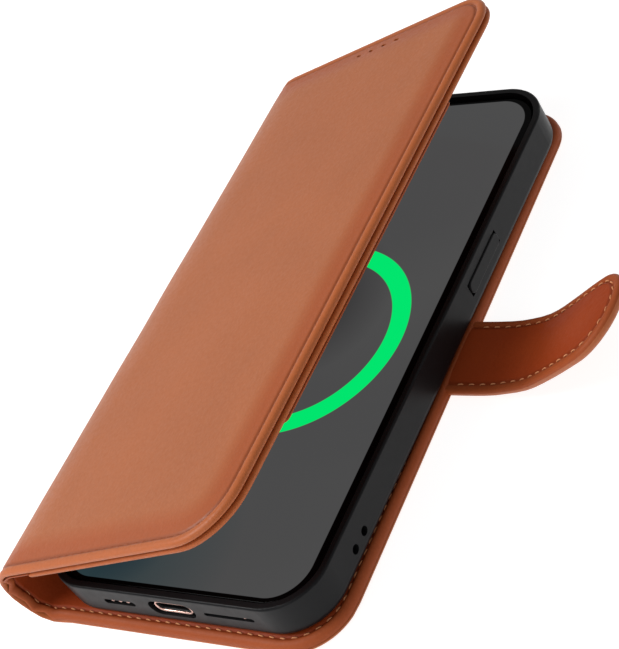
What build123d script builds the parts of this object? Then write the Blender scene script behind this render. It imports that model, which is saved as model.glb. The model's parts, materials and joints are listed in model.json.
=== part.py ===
from build123d import *
import math
import os

# A folding leather phone wallet case with a soft inner shell, a strap clasp and
# the telephone it holds. Millimetres. +X is towards the strap, +Y towards the
# top of the telephone and +Z out of its screen. The origin lies on the outer
# face of the back cover, under the middle of the telephone.

# ---------------------------------------------------------------- dimensions
# telephone
PHONE_W = 71.6
PHONE_L = 147.6
PHONE_T = 7.9
PHONE_R = 11.0
PHONE_GLASS_T = 0.7
PHONE_EDGE_R = 1.0
DISPLAY_SIZE = (66.4, 144.2)
DISPLAY_R = 9.0
DISPLAY_T = 0.3
DISPLAY_GAP = 0.05
PHONE_FLOAT = 0.05

# back cover, from the outside in: leather, board, lining
BACK_LEFT = -39.9
BACK_RIGHT = 39.1
BACK_BOTTOM = -77.6
BACK_TOP = 78.5
BACK_R = 11.0
FOLD_R = 2.0
BACK_LEATHER_T = 0.8
BACK_BOARD_T = 0.7
BACK_T = 3.0
BOARD_INSET = 7.0
BOARD_GAP = 0.1
EDGE_ROUND = 0.35

# soft shell
SHELL_W = 75.0
SHELL_L = 151.3
SHELL_R = 12.6
SHELL_TOP = 13.4
SHELL_FLOOR_T = 1.2
ADHESIVE_T = 0.2
ADHESIVE_PAD = (62.0, 138.0)
ADHESIVE_R = 6.0
SHELL_FOOT_R = 2.2
SHELL_LIP_R = 0.55
SHELL_BORE_W = PHONE_W + 0.3
SHELL_BORE_L = PHONE_L + 0.3
SHELL_FOOT = BACK_T + ADHESIVE_T
PHONE_BOTTOM = SHELL_FOOT + SHELL_FLOOR_T + PHONE_FLOAT
PHONE_TOP = PHONE_BOTTOM + PHONE_T
PHONE_MID = (PHONE_BOTTOM + PHONE_TOP) / 2

# openings in the shell
CUTOUT_Z = 8.9
USB_CUTOUT = (12.6, 5.0)
SPEAKER_X = -15.0
SPEAKER_CUTOUT = (9.0, 1.6)
MIC_X = 15.7
MIC_CUTOUT = (13.4, 1.2)
LANYARD_Y = (-55.5, -50.9)
LANYARD_Z = 7.4
LANYARD_R = 1.1
SOCKET_SIZE = (9.4, 3.7)
SOCKET_Z = CUTOUT_Z - 0.4
SOCKET_DEPTH = 7.0
SOCKET_WALL_T = 0.45
SOCKET_GAP = 0.02
TONGUE = (6.4, 5.0, 0.7)
GRILLE_HOLE_R = 0.75
GRILLE_PITCH = 2.3
GRILLE_COUNT = 3
GRILLE_DEPTH = 2.5

# camera island
CAMERA_X = 17.4
CAMERA_Y = 53.0
CAMERA_SIZE = 30.0
CAMERA_R = 7.5
CAMERA_PLATE_T = 1.9
CAMERA_GAP = 2.0
CAMERA_OPENING = CAMERA_SIZE + 6
CAMERA_OPENING_R = CAMERA_R + 3
BOARD_OPENING = CAMERA_SIZE + 10
BOARD_OPENING_R = CAMERA_R + 5
ADHESIVE_OPENING = CAMERA_SIZE + 12
ADHESIVE_OPENING_R = CAMERA_R + 6
CAMERA_EDGE_R = 0.7
LENS_SPOTS = ((-6.6, 6.8), (-6.6, -6.8), (6.8, 0.0))
LENS_R = 5.6
LENS_T = 1.3
LENS_WALL = 1.0
LENS_WELL = 0.5
LENS_GLASS_T = 0.4
LENS_GLASS_GAP = 0.03
LENS_EDGE_R = 0.3
FLASH_SPOT = (8.6, 10.2)
FLASH_R = 1.8
FLASH_T = 0.5

# side buttons: name, side, centre along Y, length
BUTTONS = (
    ("power", 1, 21.8, 17.0),
    ("volume_up", -1, 37.0, 11.0),
    ("volume_down", -1, 22.0, 11.0),
)
BUTTON_PAD_H = 3.4
BUTTON_PAD_GAP = 0.12
BUTTON_PAD_PROUD = 0.35
BUTTON_H = 2.4
BUTTON_PROUD = 0.2
BUTTON_Z = 8.9

# magnets
RING_OUTER_R = 27.2
RING_INNER_R = 23.4
RING_Y = -3.7
RING_T = 0.6
RING_SEGMENTS = 18
RING_SLIT = 0.9
CLASP_MAGNET_R = 3.4
CLASP_MAGNET_T = 0.6
CLASP_MAGNET_SPACING = 9.2
CLASP_MAGNET_AT = 0.62

# front cover, drawn in its own tilted plane: W runs from the fold to the free edge
COVER_TILT = 16.26
COVER_FOLD_X = -40.47
COVER_FOLD_Z = 20.84
COVER_W0 = 2.0
COVER_W1 = 76.8
COVER_BOTTOM = -79.0
COVER_TOP = 78.8
COVER_LEATHER_T = 1.8
COVER_BOARD_T = 0.6
PANEL_W0 = 7.8
PANEL_T = 1.6
PANEL_INSET = 0.35
PANEL_GAP = 0.04
POCKET_W0 = (18.8, 27.8, 36.8)
POCKET_W1 = 73.8
POCKET_HALF_L = 46.5
POCKET_T = 0.7
EAR_SLOTS_W = (31.3, 35.8, 40.6, 45.3)
EAR_SLOTS_Y = 73.8
EAR_SLOT = (1.9, 0.9)
EAR_SLOT_TILT = -20.0
KEEPER_W = 67.8
KEEPER_Y = 0.4
KEEPER_R = 5.4
KEEPER_T = 0.5

# stitching
STITCH_INSET = 2.2
BACK_STITCH_INSET = 1.7
BACK_STITCH_INSET_END = 2.5
THREAD_W = 0.45
GROOVE_W = 0.8
GROOVE_DEPTH = 0.3

# spine: an arched strip between the two folds
BACK_FOLD = (-41.3, 1.5)
COVER_FOLD = (-39.53, 19.76)
SPINE_SAG = 4.6
SPINE_LEATHER_T = 1.0
SPINE_LINING_T = 0.9
SPINE_ROLL_R = 1.0

# strap, running out from the right edge; fold lines in X and Z
STRAP_W = 20.4
STRAP_Y = 0.4
STRAP_ROOT_X = 32.0
STRAP_T = 1.8
STRAP_HALF = STRAP_T / 2
STRAP_FOLDS = ((42.9, 1.72), (50.5, 2.3), (64.5, 8.0))
STRAP_TIP = (82.4, 19.9)
STRAP_SAGS = (0.1, -0.6, -0.2)
STRAP_TIP_R = 9.8
STRAP_STITCH_INSET = 2.0
SEAM = 0.04

COVER_PLANE = Plane(
    origin=(COVER_FOLD_X, 0, COVER_FOLD_Z),
    x_dir=(math.cos(math.radians(COVER_TILT)), 0, math.sin(math.radians(COVER_TILT))),
    z_dir=(-math.sin(math.radians(COVER_TILT)), 0, math.cos(math.radians(COVER_TILT))),
)

os.makedirs("parts", exist_ok=True)


# ---------------------------------------------------------------- helpers
def save(piece, name):
    """Label a finished piece and write its file."""
    piece.part.label = name
    export_step(piece.part, f"parts/{name}.step")


def flap_outline(x0, x1, y0, y1, free_r, fold_r):
    """A rectangle with large corners at its free edge and small ones at its fold."""
    with Locations(((x0 + x1) / 2, (y0 + y1) / 2)):
        Rectangle(x1 - x0, y1 - y0)
    fillet(vertices().group_by(Axis.X)[-1], free_r)
    fillet(vertices().group_by(Axis.X)[0], fold_r)


def back_outline(inset):
    """The back cover's outline, drawn in by an inset."""
    flap_outline(
        BACK_LEFT + inset,
        BACK_RIGHT - inset,
        BACK_BOTTOM + inset,
        BACK_TOP - inset,
        max(BACK_R - inset, 1.0),
        max(FOLD_R - inset, 0.8),
    )


def cover_outline(inset, w0=COVER_W0):
    """The front cover's outline in its own plane, drawn in by an inset."""
    flap_outline(
        w0 + inset,
        COVER_W1 - inset,
        COVER_BOTTOM + inset,
        COVER_TOP - inset,
        max(BACK_R - inset, 1.0),
        max(FOLD_R - inset, 0.8),
    )


def camera_hole(size, radius, low, high):
    """Cut the rounded square camera opening from low to high."""
    with BuildSketch(Plane.XY.offset(low)) as opening:
        with Locations((CAMERA_X, CAMERA_Y)):
            RectangleRounded(size, size, radius)
    extrude(opening.sketch, amount=high - low, mode=Mode.SUBTRACT)


def seam_ring(plane, box, radii, width, depth, mode=Mode.ADD):
    """A flat closed ring of thread, or the groove for it, standing on a plane."""
    x0, x1, y0, y1 = box
    half = width / 2
    with BuildSketch(plane) as inside:
        flap_outline(x0 + half, x1 - half, y0 + half, y1 - half, radii[0] - half, radii[1] - half)
    with BuildSketch(plane) as ring:
        flap_outline(x0 - half, x1 + half, y0 - half, y1 + half, radii[0] + half, radii[1] + half)
        add(inside.sketch_local, mode=Mode.SUBTRACT)
    extrude(ring.sketch, amount=depth, mode=mode)


def arched_profile(start, end, sag, low, high):
    """The region between two arcs that follow one bowed line, low and high off it."""
    a = Vector(*start)
    b = Vector(*end)
    along = (b - a).normalized()
    side = Vector(-along.Y, along.X)
    middle = (a + b) * 0.5 + side * sag
    centre_drop = ((b - a).length ** 2 / 4 - sag**2) / (2 * sag)
    centre = (a + b) * 0.5 - side * centre_drop
    turn = math.copysign(1.0, sag)

    def shifted(point, amount):
        return point + (point - centre).normalized() * (amount * turn)

    with BuildLine() as outline:
        ThreePointArc(shifted(a, low), shifted(middle, low), shifted(b, low))
        Line(shifted(b, low), shifted(b, high))
        ThreePointArc(shifted(b, high), shifted(middle, high), shifted(a, high))
        Line(shifted(a, high), shifted(a, low))
    make_face(outline.edges())


def disc(x, z, radius):
    """A round spot on the side profile."""
    with Locations((x, z)):
        Circle(radius)


def side_plane(y):
    """The plane across the case at Y, whose extrusion runs towards -Y."""
    return Plane(origin=(0, y, 0), x_dir=(1, 0, 0), z_dir=(0, -1, 0))


# ---------------------------------------------------------------- back cover
with BuildPart() as back_leather:
    with BuildSketch():
        back_outline(0)
    extrude(amount=BACK_LEATHER_T)
    fillet(faces().sort_by(Axis.Z)[0].edges(), EDGE_ROUND)
    camera_hole(CAMERA_OPENING, CAMERA_OPENING_R, -1, BACK_LEATHER_T + 1)
    back_seam = (
        BACK_LEFT + 3.0,
        BACK_RIGHT - BACK_STITCH_INSET,
        BACK_BOTTOM + BACK_STITCH_INSET_END,
        BACK_TOP - BACK_STITCH_INSET_END,
    )
    back_seam_radii = (BACK_R - 2.0, 1.5)
    seam_ring(Plane.XY, back_seam, back_seam_radii, GROOVE_W, GROOVE_DEPTH, Mode.SUBTRACT)
save(back_leather, "back_leather")

with BuildPart() as back_board:
    with BuildSketch(Plane.XY.offset(BACK_LEATHER_T)):
        back_outline(BOARD_INSET)
    extrude(amount=BACK_BOARD_T)
    camera_hole(BOARD_OPENING, BOARD_OPENING_R, 0, BACK_T)
save(back_board, "back_board")

with BuildPart() as back_lining:
    with BuildSketch(Plane.XY.offset(BACK_LEATHER_T)):
        back_outline(0)
    extrude(amount=BACK_T - BACK_LEATHER_T)
    fillet(faces().sort_by(Axis.Z)[-1].edges(), EDGE_ROUND)
    with BuildSketch(Plane.XY.offset(BACK_LEATHER_T)):
        back_outline(BOARD_INSET - BOARD_GAP)
        with Locations((CAMERA_X, CAMERA_Y)):
            RectangleRounded(
                BOARD_OPENING - 2 * BOARD_GAP,
                BOARD_OPENING - 2 * BOARD_GAP,
                BOARD_OPENING_R - BOARD_GAP,
                mode=Mode.SUBTRACT,
            )
    extrude(amount=BACK_BOARD_T + SEAM, mode=Mode.SUBTRACT)
    camera_hole(CAMERA_OPENING, CAMERA_OPENING_R, 0, BACK_T + 1)
    root_width = BACK_RIGHT + 1 - STRAP_ROOT_X
    with Locations((STRAP_ROOT_X + root_width / 2, STRAP_Y, STRAP_FOLDS[0][1])):
        Box(root_width, STRAP_W + 0.1, STRAP_T + SEAM, mode=Mode.SUBTRACT)
    seam_ring(
        Plane.XY.offset(BACK_T - GROOVE_DEPTH),
        back_seam,
        back_seam_radii,
        GROOVE_W,
        GROOVE_DEPTH + 1,
        Mode.SUBTRACT,
    )
save(back_lining, "back_lining")

with BuildPart() as back_stitching:
    for level in (0.05, BACK_T - GROOVE_DEPTH + 0.02):
        seam_ring(Plane.XY.offset(level), back_seam, back_seam_radii, THREAD_W, GROOVE_DEPTH - 0.07)
save(back_stitching, "back_stitching")

with BuildPart() as shell_adhesive:
    with BuildSketch(Plane.XY.offset(BACK_T)):
        RectangleRounded(*ADHESIVE_PAD, ADHESIVE_R)
        with Locations((CAMERA_X, CAMERA_Y)):
            RectangleRounded(ADHESIVE_OPENING, ADHESIVE_OPENING, ADHESIVE_OPENING_R, mode=Mode.SUBTRACT)
    extrude(amount=ADHESIVE_T)
save(shell_adhesive, "shell_adhesive")

# ---------------------------------------------------------------- soft shell
with BuildPart() as phone_shell:
    with BuildSketch(Plane.XY.offset(SHELL_FOOT)):
        RectangleRounded(SHELL_W, SHELL_L, SHELL_R)
    extrude(amount=SHELL_TOP - SHELL_FOOT)
    fillet(faces().sort_by(Axis.Z)[0].edges(), SHELL_FOOT_R)
    fillet(faces().sort_by(Axis.Z)[-1].edges(), SHELL_LIP_R)
    with BuildSketch(Plane.XY.offset(SHELL_FOOT + SHELL_FLOOR_T)):
        RectangleRounded(SHELL_BORE_W, SHELL_BORE_L, PHONE_R + 0.15)
    extrude(amount=SHELL_TOP, mode=Mode.SUBTRACT)
    camera_hole(CAMERA_SIZE + 2 * CAMERA_GAP, CAMERA_R + CAMERA_GAP, 0, SHELL_FOOT + 3)
    # cut-outs at the foot end: charging socket, speaker, microphone
    foot_wall_y = -(SHELL_L + SHELL_BORE_L) / 4
    for x, (width, height) in (
        (0, USB_CUTOUT),
        (SPEAKER_X, SPEAKER_CUTOUT),
        (MIC_X, MIC_CUTOUT),
    ):
        with BuildSketch(side_plane(foot_wall_y + 3)):
            with Locations((x, CUTOUT_Z)):
                SlotOverall(width, height)
        extrude(amount=6, mode=Mode.SUBTRACT)
    # cord holes through the strap side
    for y in LANYARD_Y:
        with Locations(Location((SHELL_W / 2 - 1, y, LANYARD_Z), (0, 90, 0))):
            Cylinder(LANYARD_R, 4, mode=Mode.SUBTRACT)
    # windows for the button pads
    for _, side, y, length in BUTTONS:
        with Locations((side * (SHELL_W / 2 - 0.8), y, BUTTON_Z)):
            Box(
                4,
                length + 2 * BUTTON_PAD_GAP,
                BUTTON_PAD_H + 2 * BUTTON_PAD_GAP,
                mode=Mode.SUBTRACT,
            )
    # channel in the floor for the ring of magnets
    with BuildSketch(Plane.XY.offset(SHELL_FOOT)):
        with Locations((0, RING_Y)):
            Circle(RING_OUTER_R + 0.1)
            Circle(RING_INNER_R - 0.1, mode=Mode.SUBTRACT)
    extrude(amount=RING_T + SEAM, mode=Mode.SUBTRACT)
save(phone_shell, "phone_shell")

with BuildPart() as magnet_ring:
    with BuildSketch(Plane.XY.offset(SHELL_FOOT + SEAM / 2)):
        with Locations((0, RING_Y)):
            Circle(RING_OUTER_R)
            Circle(RING_INNER_R, mode=Mode.SUBTRACT)
            with PolarLocations(RING_OUTER_R, RING_SEGMENTS):
                Rectangle(2 * (RING_OUTER_R - RING_INNER_R) + 2, RING_SLIT, mode=Mode.SUBTRACT)
    extrude(amount=RING_T)
save(magnet_ring, "magnet_ring")

# ---------------------------------------------------------------- buttons
for name, side, y, length in BUTTONS:
    # the soft pad moulded over each button, free to dip into its window
    inner = PHONE_W / 2 + BUTTON_PROUD + 0.02
    outer = SHELL_W / 2 + BUTTON_PAD_PROUD
    with BuildPart() as button_pad:
        with Locations((side * (inner + outer) / 2, y, BUTTON_Z)):
            Box(outer - inner, length, BUTTON_PAD_H)
        fillet(edges().filter_by(Axis.X), BUTTON_PAD_H / 2 - 0.05)
        face = faces().sort_by(Axis.X)[-1 if side > 0 else 0]
        fillet(face.edges(), 0.3)
    save(button_pad, f"{name}_button_pad")

    # the telephone's own button under it
    with BuildPart() as button:
        depth = BUTTON_PROUD + 0.9
        with Locations((side * (PHONE_W / 2 + BUTTON_PROUD - depth / 2), y, BUTTON_Z)):
            Box(depth, length - 3, BUTTON_H)
        fillet(edges().filter_by(Axis.X), BUTTON_H / 2 - 0.05)
    save(button, f"phone_{name}_button")

# ---------------------------------------------------------------- telephone
with BuildPart() as phone_frame:
    with BuildSketch(Plane.XY.offset(PHONE_BOTTOM + PHONE_GLASS_T)):
        RectangleRounded(PHONE_W, PHONE_L, PHONE_R)
    extrude(amount=PHONE_T - 2 * PHONE_GLASS_T)
    fillet(faces().sort_by(Axis.Z)[0].edges(), PHONE_EDGE_R)
    fillet(faces().sort_by(Axis.Z)[-1].edges(), PHONE_EDGE_R)
    # charging socket, with the rows of holes beside it
    with BuildSketch(side_plane(-PHONE_L / 2 + SOCKET_DEPTH)):
        with Locations((0, SOCKET_Z)):
            SlotOverall(*SOCKET_SIZE)
    extrude(amount=SOCKET_DEPTH + 1, mode=Mode.SUBTRACT)
    with BuildSketch(side_plane(-PHONE_L / 2 + GRILLE_DEPTH)):
        for x in (SPEAKER_X, MIC_X):
            with Locations((x, CUTOUT_Z)):
                with GridLocations(GRILLE_PITCH, 1, GRILLE_COUNT, 1):
                    Circle(GRILLE_HOLE_R)
    extrude(amount=GRILLE_DEPTH + 1, mode=Mode.SUBTRACT)
    # wells for the side buttons, deep enough for their travel
    for _, side, y, length in BUTTONS:
        with Locations((side * PHONE_W / 2, y, BUTTON_Z)):
            Box(3.0, length - 2.8, BUTTON_H + 0.2, mode=Mode.SUBTRACT)
save(phone_frame, "phone_frame")

with BuildPart() as phone_back_glass:
    with BuildSketch(Plane.XY.offset(PHONE_BOTTOM)):
        RectangleRounded(PHONE_W - 1.6, PHONE_L - 1.6, PHONE_R - 0.8)
    extrude(amount=PHONE_GLASS_T)
    fillet(faces().sort_by(Axis.Z)[0].edges(), 0.4)
save(phone_back_glass, "phone_back_glass")

with BuildPart() as phone_front_glass:
    with BuildSketch(Plane.XY.offset(PHONE_TOP - PHONE_GLASS_T)):
        RectangleRounded(PHONE_W - 1.0, PHONE_L - 1.0, PHONE_R - 0.5)
    extrude(amount=PHONE_GLASS_T)
    fillet(faces().sort_by(Axis.Z)[-1].edges(), 0.4)
    with BuildSketch(Plane.XY.offset(PHONE_TOP - PHONE_GLASS_T)):
        RectangleRounded(
            DISPLAY_SIZE[0] + 2 * DISPLAY_GAP,
            DISPLAY_SIZE[1] + 2 * DISPLAY_GAP,
            DISPLAY_R + 2 * DISPLAY_GAP,
        )
    extrude(amount=DISPLAY_T + DISPLAY_GAP, mode=Mode.SUBTRACT)
save(phone_front_glass, "phone_front_glass")

with BuildPart() as phone_display:
    with BuildSketch(Plane.XY.offset(PHONE_TOP - PHONE_GLASS_T)):
        RectangleRounded(*DISPLAY_SIZE, DISPLAY_R)
    extrude(amount=DISPLAY_T)
save(phone_display, "phone_display")

camera_base = PHONE_BOTTOM - CAMERA_PLATE_T
with BuildPart() as camera_plate:
    with BuildSketch(Plane.XY.offset(camera_base)):
        with Locations((CAMERA_X, CAMERA_Y)):
            RectangleRounded(CAMERA_SIZE, CAMERA_SIZE, CAMERA_R)
    extrude(amount=CAMERA_PLATE_T)
    fillet(faces().sort_by(Axis.Z)[0].edges(), CAMERA_EDGE_R)
    with Locations((CAMERA_X + FLASH_SPOT[0], CAMERA_Y + FLASH_SPOT[1], camera_base)):
        Cylinder(FLASH_R + LENS_GLASS_GAP, 2 * FLASH_T, mode=Mode.SUBTRACT)
save(camera_plate, "camera_plate")

with BuildPart() as lens_rings:
    for dx, dy in LENS_SPOTS:
        with Locations((CAMERA_X + dx, CAMERA_Y + dy, camera_base - LENS_T / 2)):
            Cylinder(LENS_R, LENS_T)
    fillet(edges().filter_by(GeomType.CIRCLE).group_by(Axis.Z)[0], LENS_EDGE_R)
    for dx, dy in LENS_SPOTS:
        with Locations((CAMERA_X + dx, CAMERA_Y + dy, camera_base - LENS_T)):
            Cylinder(LENS_R - LENS_WALL, 2 * LENS_WELL, mode=Mode.SUBTRACT)
save(lens_rings, "camera_lens_rings")

with BuildPart() as lens_glasses:
    for dx, dy in LENS_SPOTS:
        lens_z = camera_base - LENS_T + LENS_WELL - LENS_GLASS_T / 2
        with Locations((CAMERA_X + dx, CAMERA_Y + dy, lens_z)):
            Cylinder(LENS_R - LENS_WALL - LENS_GLASS_GAP, LENS_GLASS_T)
save(lens_glasses, "camera_lens_glasses")

with BuildPart() as camera_flash:
    flash_z = camera_base + FLASH_T / 2
    with Locations((CAMERA_X + FLASH_SPOT[0], CAMERA_Y + FLASH_SPOT[1], flash_z)):
        Cylinder(FLASH_R, FLASH_T)
save(camera_flash, "camera_flash")

with BuildPart() as charging_socket:
    liner_w = SOCKET_SIZE[0] - 2 * SOCKET_GAP
    liner_h = SOCKET_SIZE[1] - 2 * SOCKET_GAP
    with BuildSketch(side_plane(-PHONE_L / 2 + SOCKET_DEPTH - 0.1)):
        with Locations((0, SOCKET_Z)):
            SlotOverall(liner_w, liner_h)
            SlotOverall(liner_w - 2 * SOCKET_WALL_T, liner_h - 2 * SOCKET_WALL_T, mode=Mode.SUBTRACT)
    extrude(amount=SOCKET_DEPTH - 0.3)
save(charging_socket, "charging_socket")

with BuildPart() as socket_tongue:
    with Locations((0, -PHONE_L / 2 + SOCKET_DEPTH - TONGUE[1] / 2 - 0.1, SOCKET_Z)):
        Box(*TONGUE)
save(socket_tongue, "charging_socket_tongue")

# ---------------------------------------------------------------- spine
spine_length = COVER_TOP - COVER_BOTTOM - 0.6
with BuildPart() as spine_leather:
    with BuildSketch(side_plane(COVER_TOP - 0.3)):
        arched_profile(BACK_FOLD, COVER_FOLD, SPINE_SAG, 0, SPINE_LEATHER_T)
        disc(*BACK_FOLD, SPINE_ROLL_R)
        disc(*COVER_FOLD, SPINE_ROLL_R)
    extrude(amount=spine_length)
save(spine_leather, "spine_leather")

with BuildPart() as spine_lining:
    with BuildSketch(side_plane(COVER_TOP - 0.5)):
        arched_profile(BACK_FOLD, COVER_FOLD, SPINE_SAG, -SPINE_LINING_T, -SEAM)
        disc(*BACK_FOLD, SPINE_ROLL_R + SEAM)
    extrude(amount=spine_length - 0.4)
    with BuildSketch(side_plane(COVER_TOP)):
        disc(*BACK_FOLD, SPINE_ROLL_R + SEAM)
        disc(*COVER_FOLD, SPINE_ROLL_R + SEAM)
    extrude(amount=spine_length + 1, mode=Mode.SUBTRACT)
save(spine_lining, "spine_lining")

# ---------------------------------------------------------------- front cover
panel_top = -COVER_LEATHER_T
panel_bottom = panel_top - PANEL_T
cover_seam = (
    COVER_W0 + 3.5,
    COVER_W1 - STITCH_INSET,
    COVER_BOTTOM + STITCH_INSET,
    COVER_TOP - STITCH_INSET,
)
cover_seam_radii = (BACK_R - STITCH_INSET, 1.5)


def ear_slots(low, high):
    """Cut the row of slanted sound slots near the top edge of the front cover."""
    with BuildSketch(COVER_PLANE.offset(low)) as slots:
        for w in EAR_SLOTS_W:
            with Locations(Location((w, EAR_SLOTS_Y, 0), EAR_SLOT_TILT)):
                SlotOverall(*EAR_SLOT)
    extrude(slots.sketch, amount=high - low, mode=Mode.SUBTRACT)


with BuildPart() as front_leather:
    with BuildSketch(COVER_PLANE.offset(-COVER_LEATHER_T)):
        cover_outline(0)
    extrude(amount=COVER_LEATHER_T)
    outer_face = faces().sort_by(SortBy.AREA)[-2:].sort_by(Axis.Z)[-1]
    fillet(outer_face.edges(), 0.8)
    inner_face = faces().sort_by(SortBy.AREA)[-2:].sort_by(Axis.Z)[0]
    fillet(inner_face.edges(), 0.3)
    seam_ring(
        COVER_PLANE.offset(-GROOVE_DEPTH),
        cover_seam,
        cover_seam_radii,
        GROOVE_W,
        1.0,
        Mode.SUBTRACT,
    )
    with BuildSketch(COVER_PLANE.offset(-COVER_LEATHER_T)):
        cover_outline(BOARD_INSET)
    extrude(amount=COVER_BOARD_T + SEAM, mode=Mode.SUBTRACT)
    with BuildSketch(COVER_PLANE.offset(-COVER_LEATHER_T)):
        with Locations((KEEPER_W, KEEPER_Y)):
            Circle(KEEPER_R + 0.1)
    extrude(amount=COVER_BOARD_T + KEEPER_T + 2 * SEAM, mode=Mode.SUBTRACT)
    ear_slots(-COVER_LEATHER_T - 1, 1)
save(front_leather, "front_leather")

with BuildPart() as front_board:
    with BuildSketch(COVER_PLANE.offset(-COVER_LEATHER_T)):
        cover_outline(BOARD_INSET + 0.1)
    extrude(amount=COVER_BOARD_T)
save(front_board, "front_board")

with BuildPart() as clasp_keeper:
    with BuildSketch(COVER_PLANE.offset(-COVER_LEATHER_T + COVER_BOARD_T + SEAM)):
        with Locations((KEEPER_W, KEEPER_Y)):
            Circle(KEEPER_R)
    extrude(amount=KEEPER_T)
save(clasp_keeper, "clasp_keeper")

with BuildPart() as front_lining:
    with BuildSketch(COVER_PLANE.offset(panel_bottom)):
        cover_outline(PANEL_INSET, PANEL_W0)
    extrude(amount=PANEL_T)
    for face in faces().sort_by(SortBy.AREA)[-2:]:
        fillet(face.edges(), 0.3)
    ear_slots(panel_bottom - 1, panel_top + 1)
save(front_lining, "front_lining")

for index, w0 in enumerate(POCKET_W0):
    level = panel_bottom - PANEL_GAP - index * (POCKET_T + PANEL_GAP)
    with BuildPart() as card_pocket:
        with BuildSketch(COVER_PLANE.offset(level - POCKET_T)):
            flap_outline(w0, POCKET_W1, -POCKET_HALF_L, POCKET_HALF_L, 3.0, 1.2)
        extrude(amount=POCKET_T)
        lower_face = faces().sort_by(SortBy.AREA)[-2:].sort_by(Axis.Z)[0]
        fillet(lower_face.edges(), 0.25)
    save(card_pocket, f"card_pocket_{index + 1}")

with BuildPart() as front_stitching:
    seam_ring(
        COVER_PLANE.offset(-GROOVE_DEPTH + 0.02),
        cover_seam,
        cover_seam_radii,
        THREAD_W,
        GROOVE_DEPTH - 0.07,
    )
save(front_stitching, "front_stitching")

# ---------------------------------------------------------------- strap
strap_side = side_plane(STRAP_Y + STRAP_W / 2)
first_fold = STRAP_FOLDS[0]

with BuildPart() as strap_root:
    root_end = first_fold[0] - STRAP_HALF - 0.15
    with Locations(((STRAP_ROOT_X + root_end) / 2 + 0.05, STRAP_Y, first_fold[1])):
        Box(root_end - STRAP_ROOT_X - 0.1, STRAP_W, STRAP_T)
    fillet(edges().filter_by(Axis.Y).group_by(Axis.X)[-1], 0.3)
save(strap_root, "strap_root")

STRAP_NAMES = ("strap_bridge", "strap_side", "strap_flap")
strap_points = STRAP_FOLDS + (STRAP_TIP,)
tip_reach = STRAP_TIP[0] + 0.6


def strap_plan(inset):
    """The strap's outline seen from above, drawn in by an inset."""
    flap_outline(
        STRAP_ROOT_X,
        tip_reach - inset,
        STRAP_Y - STRAP_W / 2 + inset,
        STRAP_Y + STRAP_W / 2 - inset,
        STRAP_TIP_R - inset,
        0.5,
    )


def strap_seam(layer, width):
    """Keep only the line of the seam from a thin layer of the strap."""
    with BuildSketch(Plane.XY.offset(-5)) as inside:
        strap_plan(STRAP_STITCH_INSET + width / 2)
    with BuildSketch(Plane.XY.offset(-5)) as ring:
        strap_plan(STRAP_STITCH_INSET - width / 2)
        add(inside.sketch_local, mode=Mode.SUBTRACT)
    extrude(ring.sketch, amount=50, mode=Mode.INTERSECT)


for index, name in enumerate(STRAP_NAMES):
    start = strap_points[index]
    end = strap_points[index + 1]
    sag = STRAP_SAGS[index]
    last = index == len(STRAP_NAMES) - 1
    run = Vector(*end) - Vector(*start)
    along = run.normalized()
    trim = 0 if last else STRAP_HALF + 0.15
    stop = (end[0] - along.X * trim, end[1] - along.Y * trim)

    # the seam's groove and its thread, on the inner face and on the outer face
    with BuildPart() as groove:
        with BuildSketch(strap_side):
            arched_profile(start, stop, sag, STRAP_HALF - GROOVE_DEPTH, STRAP_HALF + 0.5)
            arched_profile(start, stop, sag, -STRAP_HALF - 0.5, -STRAP_HALF + GROOVE_DEPTH)
        extrude(amount=STRAP_W)
        strap_seam(groove, GROOVE_W)
    with BuildPart() as strap_thread:
        with BuildSketch(strap_side):
            arched_profile(start, stop, sag, STRAP_HALF - GROOVE_DEPTH + 0.02, STRAP_HALF - 0.04)
            arched_profile(start, stop, sag, -STRAP_HALF + 0.04, -STRAP_HALF + GROOVE_DEPTH - 0.02)
            with Locations(start):
                Circle(STRAP_HALF + 0.3, mode=Mode.SUBTRACT)
        extrude(amount=STRAP_W)
        strap_seam(strap_thread, THREAD_W)
    save(strap_thread, f"{name}_stitching")

    # the flap's pair of magnets lies between its leather and its lining
    side = Vector(-along.Y, along.X)
    bow = 4 * CLASP_MAGNET_AT * (1 - CLASP_MAGNET_AT) * sag
    magnet_spot = Vector(*start) + (Vector(*stop) - Vector(*start)) * CLASP_MAGNET_AT + side * bow
    magnet_plane = Plane(
        origin=(magnet_spot.X, STRAP_Y, magnet_spot.Y),
        x_dir=(along.X, 0, along.Y),
        z_dir=(side.X, 0, side.Y),
    )
    for half, low, high in (("leather", -STRAP_HALF, 0), ("lining", SEAM, STRAP_HALF)):
        with BuildPart() as strap_piece:
            with BuildSketch(strap_side):
                arched_profile(start, stop, sag, low, high)
                if half == "leather":
                    disc(*start, STRAP_HALF)
                else:
                    with Locations(start):
                        Circle(STRAP_HALF + 0.15, mode=Mode.SUBTRACT)
            extrude(amount=STRAP_W)
            add(groove.part, mode=Mode.SUBTRACT)
            if last:
                with BuildSketch(Plane.XY.offset(-5)):
                    strap_plan(0)
                extrude(amount=50, mode=Mode.INTERSECT)
                with BuildSketch(magnet_plane.offset(-CLASP_MAGNET_T / 2 - SEAM)):
                    with GridLocations(1, CLASP_MAGNET_SPACING, 1, 2):
                        Circle(CLASP_MAGNET_R + 0.05)
                extrude(amount=CLASP_MAGNET_T + 2 * SEAM, mode=Mode.SUBTRACT)
        save(strap_piece, f"{name}_{half}")
    if last:
        with BuildPart() as clasp_magnets:
            with BuildSketch(magnet_plane.offset(-CLASP_MAGNET_T / 2)):
                with GridLocations(1, CLASP_MAGNET_SPACING, 1, 2):
                    Circle(CLASP_MAGNET_R)
            extrude(amount=CLASP_MAGNET_T)
        save(clasp_magnets, "clasp_magnets")
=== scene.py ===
import bisect
import json
import math

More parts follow.
